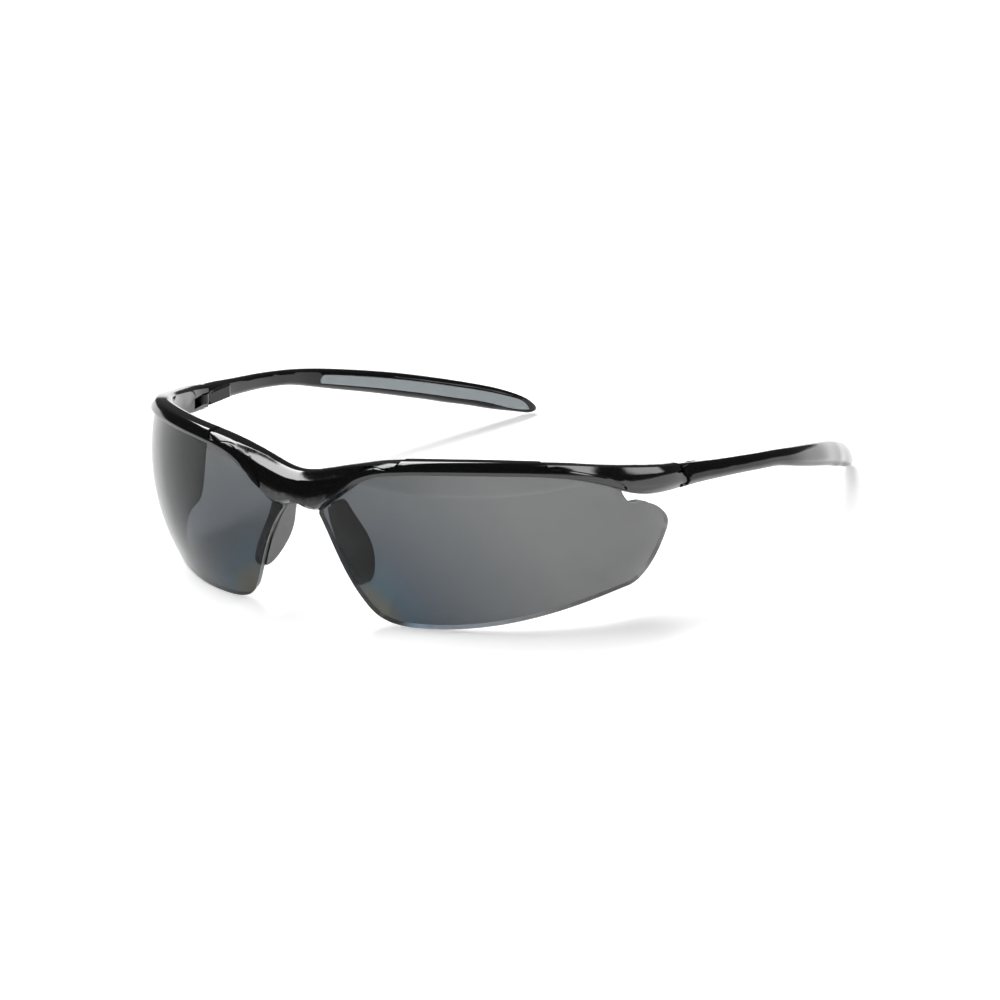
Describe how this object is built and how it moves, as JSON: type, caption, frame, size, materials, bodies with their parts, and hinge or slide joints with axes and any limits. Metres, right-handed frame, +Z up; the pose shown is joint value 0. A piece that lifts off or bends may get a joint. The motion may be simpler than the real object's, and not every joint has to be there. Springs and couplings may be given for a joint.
{
  "type": "safety glasses",
  "caption": "Half-rimless wrap-round safety glasses: glossy brow frame, tinted shell lenses hung below it, soft nose pads on carriers, folding temples with grip inlays.",
  "frame": {"origin": "bottom centre of the bounding box, with the temples open; the plane z = 0 is the table the glasses stand on, on the lenses' lower edges and the temple tips", "axes": "+X is the wearer's left, the front faces -Y, the temples run back along +Y, +Z is up"},
  "size_m": [0.1362, 0.164, 0.039],
  "materials": {
    "frame_black": "polished black moulded plastic",
    "lens_grey": "polished neutral grey tint, see-through",
    "grip_grey": "satin grey soft inlay",
    "pad_rubber": "smooth black soft rubber",
    "carrier_nylon": "black moulded nylon",
    "screw_steel": "plain steel"
  },
  "bodies": {
    "front": {"brow_frame": "frame_black", "lens_left": "lens_grey", "lens_right": "lens_grey", "nose_pad_carrier_left": "carrier_nylon", "nose_pad_carrier_right": "carrier_nylon", "nose_pad_left": "pad_rubber", "nose_pad_right": "pad_rubber", "hinge_screws": "screw_steel"},
    "temple_left": {"temple_left": "frame_black", "temple_grip_left": "grip_grey"},
    "temple_right": {"temple_right": "frame_black", "temple_grip_right": "grip_grey"}
  },
  "joints": [
    {"name": "hinge_left", "type": "hinge", "parent": "front", "child": "temple_left", "pos_m": [0.0622, -0.02939, 0.02862], "axis": [0, 0, 1], "range_deg": [0, 90]},
    {"name": "hinge_right", "type": "hinge", "parent": "front", "child": "temple_right", "pos_m": [-0.0622, -0.02939, 0.02862], "axis": [0, 0, -1], "range_deg": [0, 81]}
  ]
}
